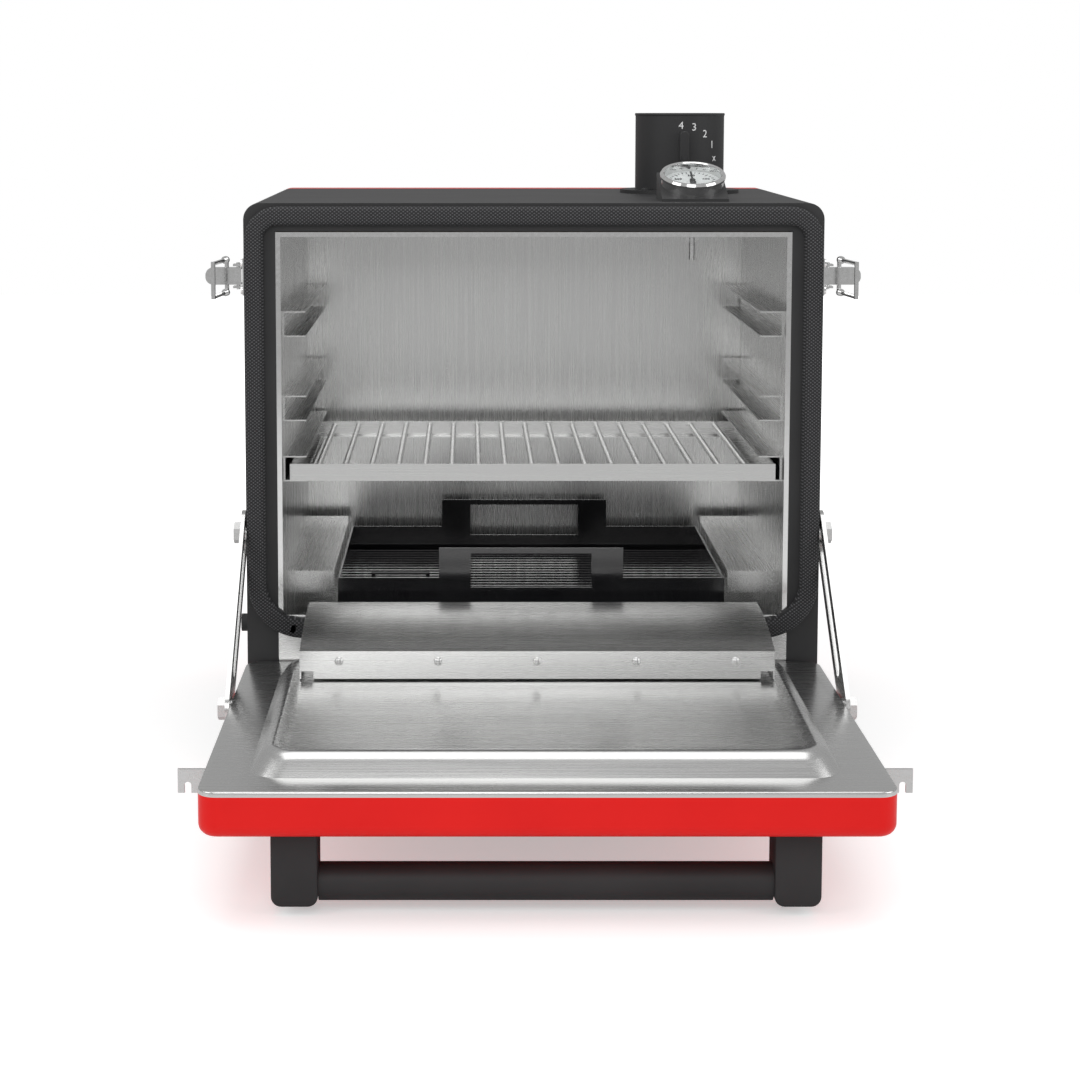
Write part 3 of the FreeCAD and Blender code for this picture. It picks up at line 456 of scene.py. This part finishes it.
@dataclass
class Studio:
    """White backdrop, soft lamps and the camera."""

    lens: float = 74.3
    eye: Point = (-0.069, -2.30, 0.7015)
    shift: tuple[float, float] = (0.0676, -0.184)
    pitch: float = math.radians(6.0)
    table_near: float = 0.7
    table_far: float = 1.8
    table_glow: float = 0.42

    def build(self) -> None:
        """Make floor, world, lamps and camera."""
        scene = bpy.context.scene
        scene.view_settings.view_transform = "Standard"
        self.world(scene)
        self.floor()
        self.lamp("top_panel", (0.0, -0.2, 2.6), (0.0, 0.0, 0.2), 2.2, 26.0)
        self.lamp("left_panel", (-2.2, -1.4, 1.5), (0.0, -0.1, 0.35), 1.4, 17.0)
        self.lamp("right_panel", (2.2, -1.2, 1.3), (0.0, -0.1, 0.35), 1.4, 14.0)
        self.lamp("front_panel", (-0.2, -2.6, 1.5), (0.0, 0.0, 0.35), 1.2, 13.0)
        camera = bpy.data.cameras.new("camera")
        camera.lens = self.lens
        camera.sensor_width = 36.0
        camera.shift_x, camera.shift_y = self.shift
        camera.clip_end = 50.0
        made = bpy.data.objects.new("camera", camera)
        made.location = self.eye
        made.rotation_euler = (math.pi / 2 - self.pitch, 0.0, 0.0)
        scene.collection.objects.link(made)
        scene.camera = made

    def world(self, scene: bpy.types.Scene) -> None:
        """Light grey surroundings that the camera sees as white."""
        world = bpy.data.worlds.new("studio")
        world.use_nodes = True
        scene.world = world
        tree = world.node_tree
        back = tree.nodes["Background"]
        back.inputs["Color"].default_value = (1.0, 1.0, 1.0, 1.0)
        path = tree.nodes.new("ShaderNodeLightPath")
        strength = tree.nodes.new("ShaderNodeMapRange")
        strength.inputs["To Min"].default_value = 0.45
        strength.inputs["To Max"].default_value = 1.0
        tree.links.new(path.outputs["Is Camera Ray"], strength.inputs["Value"])
        tree.links.new(strength.outputs["Result"], back.inputs["Strength"])

    def floor(self) -> None:
        """White table that keeps a soft shadow and a faint reflection."""
        mesh = bmesh.new()
        bmesh.ops.create_grid(mesh, x_segments=1, y_segments=1, size=6.0)
        bmesh.ops.translate(mesh, vec=(0.0, 0.0, -0.0005), verts=mesh.verts)
        data = bpy.data.meshes.new("floor")
        mesh.to_mesh(data)
        mesh.free()
        kit = NodeKit("white_table")
        kit.shader.inputs["Base Color"].default_value = (0.90, 0.90, 0.90, 1.0)
        kit.shader.inputs["Roughness"].default_value = 0.30
        path = kit.add("ShaderNodeLightPath")
        place = kit.add("ShaderNodeTexCoord")
        reach = kit.add("ShaderNodeVectorMath")
        reach.operation = "LENGTH"
        fade = kit.add("ShaderNodeMapRange")
        fade.inputs["From Min"].default_value = self.table_near
        fade.inputs["From Max"].default_value = self.table_far
        fade.inputs["To Min"].default_value = self.table_glow
        fade.inputs["To Max"].default_value = 1.0
        glow = kit.add("ShaderNodeMath")
        glow.operation = "MULTIPLY"
        kit.link(place.outputs["Object"], reach.inputs[0])
        kit.link(reach.outputs["Value"], fade.inputs["Value"])
        kit.link(fade.outputs["Result"], glow.inputs[1])
        kit.link(path.outputs["Is Camera Ray"], glow.inputs[0])
        kit.link(glow.outputs["Value"], kit.shader.inputs["Emission Strength"])
        kit.shader.inputs["Emission Color"].default_value = (1.0, 1.0, 1.0, 1.0)
        data.materials.append(kit.material)
        made = bpy.data.objects.new("floor", data)
        bpy.context.scene.collection.objects.link(made)

    def lamp(self, name: str, place: Point, target: Point, size: float, power: float) -> None:
        """Hang one square soft lamp.

        Args:
            name: lamp name.
            place: its position.
            target: the point that it faces.
            size: its side in metres.
            power: its power in watts.
        """
        data = bpy.data.lights.new(name, "AREA")
        data.size = size
        data.energy = power
        made = bpy.data.objects.new(name, data)
        made.location = place
        made.rotation_euler = (Vector(target) - Vector(place)).to_track_quat("-Z", "Y").to_euler()
        bpy.context.scene.collection.objects.link(made)


@dataclass
class Dressing:
    """Finishes for the CAD nodes that stay."""

    finishes: Finishes
    nodes: dict[str, bpy.types.Object]

    def build(self) -> None:
        """Give every CAD node its material."""
        finish = self.finishes
        rules = (
            (("rear_shell", "door_shell"), finish.red),
            (("casing_shell", "base_pan", "flue", "damper", "handle", "thermometer_bracket", "air_regulator",
              "hinge_lugs"), finish.black),
            (("charcoal_basket", "charcoal_grate", "grate_lifter"), finish.gloss),
            (("door_seal",), finish.rope),
            (("wool_blanket", "door_filling"), finish.wool),
            (("rubber_feet",), finish.rubber),
            (("thermometer_glass",), finish.glass),
            (("thermometer_dial",), finish.dial),
            (("thermometer_needle",), finish.ink),
            (("latch", "thermometer_case", "opening_rim"), finish.chrome),
            (("stay_bolts", "hinge_pins", "guard_screws", "keeper", "slide_bolt", "thermometer_probe"),
             finish.bolt),
            (("rack_rail", "side_ledge", "grate_rods", "stay"), finish.steel_y),
            (("cavity_liner",), finish.steel_z),
        )
        for name, made in self.nodes.items():
            material = next((choice for starts, choice in rules if name.startswith(starts)), finish.steel_x)
            for index in range(len(made.material_slots)):
                made.material_slots[index].material = material
            LOG.info("%s: %s", name, material.name)


def copied(node: bpy.types.Object) -> bmesh.types.BMesh:
    """Copy a CAD node as a joined mesh of flat faces.

    Args:
        node: the CAD node's object.

    Returns:
        Its shape, merged and with coplanar faces joined.
    """
    mesh = bmesh.new()
    mesh.from_mesh(node.data)
    bmesh.ops.remove_doubles(mesh, verts=mesh.verts, dist=2e-6)
    bmesh.ops.dissolve_limit(mesh, angle_limit=math.radians(0.5), verts=mesh.verts, edges=mesh.edges)
    return mesh


@dataclass
class SealDetail:
    """Braided rope seal with a rounded front."""

    finishes: Finishes
    node: bpy.types.Object
    front: float = -0.012
    round_edge: float = 0.0052

    def build(self) -> None:
        """Round the front edges of the loop."""
        mesh = copied(self.node)
        rims = [edge for edge in mesh.edges if all(vert.co.y < self.front + 1e-4 for vert in edge.verts)]
        bmesh.ops.bevel(mesh, geom=rims, offset=self.round_edge, segments=5, affect="EDGES",
                        profile=0.5, material=-1)
        made = piece("rope_seal", mesh, self.finishes.rope, "oven")
        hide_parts("door_seal")


@dataclass
class DoorPanelDetail:
    """Pressed steel inner panel of the door: flat rim, raised field and shallow centre."""

    finishes: Finishes
    half: float = 0.300
    front: float = -0.455
    back: float = -0.004
    plane: float = 0.122
    edge: float = 0.0048
    rim: float = 0.038
    rise: float = 0.020
    slope: float = 0.014
    corner: float = 0.017
    dish: float = 0.0022
    border: float = 0.020
    field_corner: float = 0.030

    def build(self) -> None:
        """Shape the rim plate and the field."""
        mesh = block((-self.half, self.front, self.plane - self.edge), (self.half, self.back, self.plane))
        self.soften(mesh, self.corner, 0.0014, 3)
        field_low = (self.rim - self.half, self.front + self.rim, self.plane - self.edge / 2)
        field_high = (self.half - self.rim, self.back - self.rim, self.plane + self.rise)
        raised = block(field_low, field_high)
        self.round_posts(raised, self.field_corner)
        top = [vert for vert in raised.verts if vert.co.z > self.plane]
        middle = Vector((0.0, (self.front + self.back) / 2, 0.0))
        for axis, reach in ((0, self.half - self.rim), (1, (self.back - self.front) / 2 - self.rim)):
            factor = Vector((1.0, 1.0, 1.0))
            factor[axis] = 1.0 - self.slope / reach
            bmesh.ops.scale(raised, vec=factor, space=Matrix.Translation(-middle), verts=top)
        crown = max(raised.faces, key=lambda face: face.calc_center_median().z)
        bmesh.ops.inset_region(raised, faces=[crown], thickness=self.border, depth=0.0,
                               use_even_offset=True)
        crown = max(raised.faces, key=lambda face: (round(face.calc_center_median().z, 5), face.calc_area()))
        for vert in crown.verts:
            vert.co.z -= self.dish
        rims = [edge for edge in raised.edges if all(vert.co.z > self.plane + 0.012 for vert in edge.verts)
                and edge.calc_face_angle(0.0) > math.radians(4)]
        bmesh.ops.bevel(raised, geom=rims, offset=0.0085, segments=5, affect="EDGES", profile=0.5,
                        material=-1, clamp_overlap=True)
        absorb(mesh, raised)
        made = piece("pressed_panel", mesh, self.finishes.steel_x, "door")
        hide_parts("door_panel")

    @staticmethod
    def round_posts(mesh: bmesh.types.BMesh, radius: float) -> None:
        """Round the four upright edges of a block."""
        posts = [edge for edge in mesh.edges
                 if abs(edge.verts[0].co.z - edge.verts[1].co.z) > 1e-4]
        bmesh.ops.bevel(mesh, geom=posts, offset=radius, segments=8, affect="EDGES", profile=0.5, material=-1)

    def soften(self, mesh: bmesh.types.BMesh, corner: float, edge: float, steps: int) -> None:
        """Round a plate's corners and then its top edge.

        Args:
            mesh: the plate.
            corner: radius of its corners.
            edge: radius of its top edge.
            steps: faces round the top edge.
        """
        self.round_posts(mesh, corner)
        top = max(vert.co.z for vert in mesh.verts)
        rims = [each for each in mesh.edges if all(vert.co.z > top - 1e-5 for vert in each.verts)]
        bmesh.ops.bevel(mesh, geom=rims, offset=edge, segments=steps, affect="EDGES",
                        profile=0.5, material=-1)


@dataclass
class HandleDetail:
    """Moulded handle posts with rounded undersides."""

    finishes: Finishes
    place: float = 0.2195
    side: float = 0.041
    reach: float = -0.400
    low: float = 0.008
    high: float = 0.080
    foot_round: float = 0.009
    corner_round: float = 0.0018

    def build(self) -> None:
        """Shape both posts."""
        both = bmesh.new()
        for sign in (-1.0, 1.0):
            post = block((sign * self.place - self.side / 2, self.reach - self.side / 2, self.low),
                         (sign * self.place + self.side / 2, self.reach + self.side / 2, self.high))
            feet = [edge for edge in post.edges if all(vert.co.z < self.low + 1e-5 for vert in edge.verts)
                    and abs(edge.verts[0].co.x - edge.verts[1].co.x) < 1e-5]
            bmesh.ops.bevel(post, geom=feet, offset=self.foot_round, segments=6, affect="EDGES",
                            profile=0.5, material=-1)
            corners = [edge for edge in post.edges if edge.calc_face_angle(0.0) > math.radians(60)]
            bmesh.ops.bevel(post, geom=corners, offset=self.corner_round, segments=3, affect="EDGES", profile=0.5,
                            material=-1)
            absorb(both, post)
        made = piece("moulded_posts", both, self.finishes.black, "door")
        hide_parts("handle_posts")


@dataclass
class ThermometerDetail:
    """Printed dial and domed bezel of the thermometer."""

    finishes: Finishes
    centre: Point = (0.170, 0.068, 0.61874)
    tilt: float = math.radians(20)
    marks: int = 25

    def seat(self) -> Matrix:
        """Place of the dial's axis."""
        return Matrix.Translation(self.centre) @ Matrix.Rotation(self.tilt, 4, "X")

    def build(self) -> None:
        """Make scale marks, numbers and bezel."""
        sweep = math.radians(270)
        scale = bmesh.new()
        for number in range(self.marks):
            angle = math.radians(225) - sweep * number / (self.marks - 1)
            long_mark = number % 4 == 0
            mark = block((0.0205 if long_mark else 0.0225, -0.0004, 0.0040), (0.0250, 0.0004, 0.0043))
            bmesh.ops.rotate(mark, cent=(0, 0, 0), matrix=Matrix.Rotation(angle, 3, "Z"), verts=mark.verts)
            absorb(scale, mark)
        bmesh.ops.transform(scale, matrix=self.seat(), verts=scale.verts)
        piece("dial_scale", scale, self.finishes.ink, "oven", smooth=False)
        for number in range(5):
            angle = math.radians(225) - sweep * number / 4
            spot = Matrix.Translation((0.0160 * math.cos(angle), 0.0160 * math.sin(angle), 0.0042))
            lettering(f"dial_number_{number}", str(100 * (number + 1)), 0.0055, self.seat() @ spot,
                      self.finishes.ink, "oven")
        ring = [(0.0300, 0.0116), (0.0330, 0.0090), (0.0345, 0.0095), (0.0348, 0.0120), (0.0335, 0.0142),
                (0.0312, 0.0146), (0.0300, 0.0135)]
        piece("thermometer_bezel", spun(ring, self.seat(), 64), self.finishes.chrome, "oven")


@dataclass
class FlueDetail:
    """Damper scale, rolled rim and collar screws of the flue."""

    finishes: Finishes
    centre: tuple[float, float] = (0.177, 0.290)
    radius: float = 0.051
    shaft_height: float = 0.6445
    scale_reach: float = 0.036

    def build(self) -> None:
        """Make numbers, rim and screws."""
        for number, words in enumerate(("4", "3", "2", "1", "x")):
            angle = math.radians(95 - 24 * number)
            across = self.scale_reach * math.cos(angle)
            up = self.scale_reach * math.sin(angle)
            depth = math.sqrt(self.radius ** 2 - across ** 2)
            turn = math.atan2(across, depth)
            place = (Matrix.Translation((self.centre[0] + across, self.centre[1] - depth - 0.0001,
                                         self.shaft_height + up))
                     @ Matrix.Rotation(turn, 4, "Z") @ Matrix.Rotation(math.pi / 2, 4, "X"))
            lettering(f"damper_mark_{number}", words, 0.012, place, self.finishes.paint, "oven")
        place = Matrix.Translation((self.centre[0], self.centre[1], 0.0))
        rim = [(0.0492, 0.6915), (0.0513, 0.6915), (0.0518, 0.6930), (0.0513, 0.6945), (0.0492, 0.6945)]
        piece("flue_rim", spun(rim, place, 72), self.finishes.black, "oven")
        for number in range(4):
            angle = math.radians(45 + 90 * number)
            spot = Matrix.Translation((self.centre[0] + 0.060 * math.cos(angle),
                                       self.centre[1] + 0.060 * math.sin(angle), 0.607))
            head = [(0.0, 0.0), (0.0045, 0.0), (0.0045, 0.0014), (0.0030, 0.0026), (0.0, 0.0030)]
            piece(f"collar_screw_{number}", spun(head, spot, 20), self.finishes.black, "oven")


def main() -> None:
    """Load the frame, dress it, add detail and set up the studio."""
    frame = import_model()
    finishes = Finishes()
    Dressing(finishes, frame["nodes"]).build()
    SealDetail(finishes, frame["nodes"]["door_seal"]).build()
    DoorPanelDetail(finishes).build()
    HandleDetail(finishes).build()
    ThermometerDetail(finishes).build()
    FlueDetail(finishes).build()
    Studio().build()


if __name__ == "__main__":
    logging.basicConfig(level=logging.INFO)
    main()
